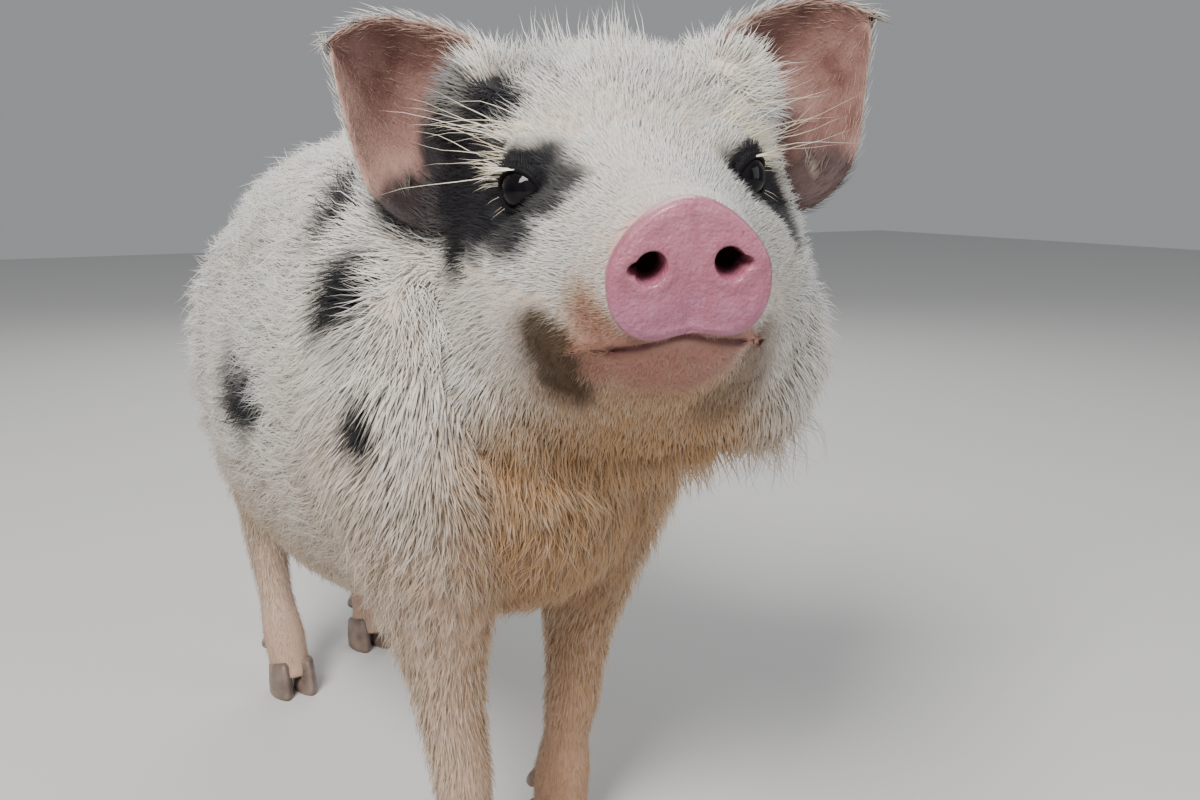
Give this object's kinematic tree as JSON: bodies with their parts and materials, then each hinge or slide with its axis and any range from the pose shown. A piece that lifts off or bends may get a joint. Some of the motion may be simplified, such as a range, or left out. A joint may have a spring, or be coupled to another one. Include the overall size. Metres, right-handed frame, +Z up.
{
  "type": "miniature pig",
  "caption": "Life-size still model of a young hairy miniature pig, standing with its head raised and turned, white with black patches and a pink snout.",
  "frame": {"origin": "middle of the whole outline seen from above, on the floor", "axes": "+Z up, -Y the way the trunk faces, +X the pig's left"},
  "size_m": [0.2037, 0.5152, 0.3694],
  "materials": {
    "coat": "white bristly coat with black patches",
    "skin": "thin pink skin with sparse hair",
    "snout": "moist pink skin, fine pores",
    "eye": "wet, dark brown",
    "horn": "grey-brown horn, lightly worn"
  },
  "bodies": {
    "root": {"ear_left": "skin", "ear_right": "skin", "eye_left": "eye", "eye_right": "eye", "foredewclaw_left_a": "horn", "foredewclaw_left_b": "horn", "foredewclaw_right_a": "horn", "foredewclaw_right_b": "horn", "forehoof_left_a": "horn", "forehoof_left_b": "horn", "forehoof_right_a": "horn", "forehoof_right_b": "horn", "foreleg_left": "coat", "foreleg_right": "coat", "head": "coat", "hinddewclaw_left_a": "horn", "hinddewclaw_left_b": "horn", "hinddewclaw_right_a": "horn", "hinddewclaw_right_b": "horn", "hindhoof_left_a": "horn", "hindhoof_left_b": "horn", "hindhoof_right_a": "horn", "hindhoof_right_b": "horn", "hindleg_left": "coat", "hindleg_right": "coat", "neck": "coat", "snout": "snout", "tail": "coat", "torso": "coat"}
  },
  "joints": []
}
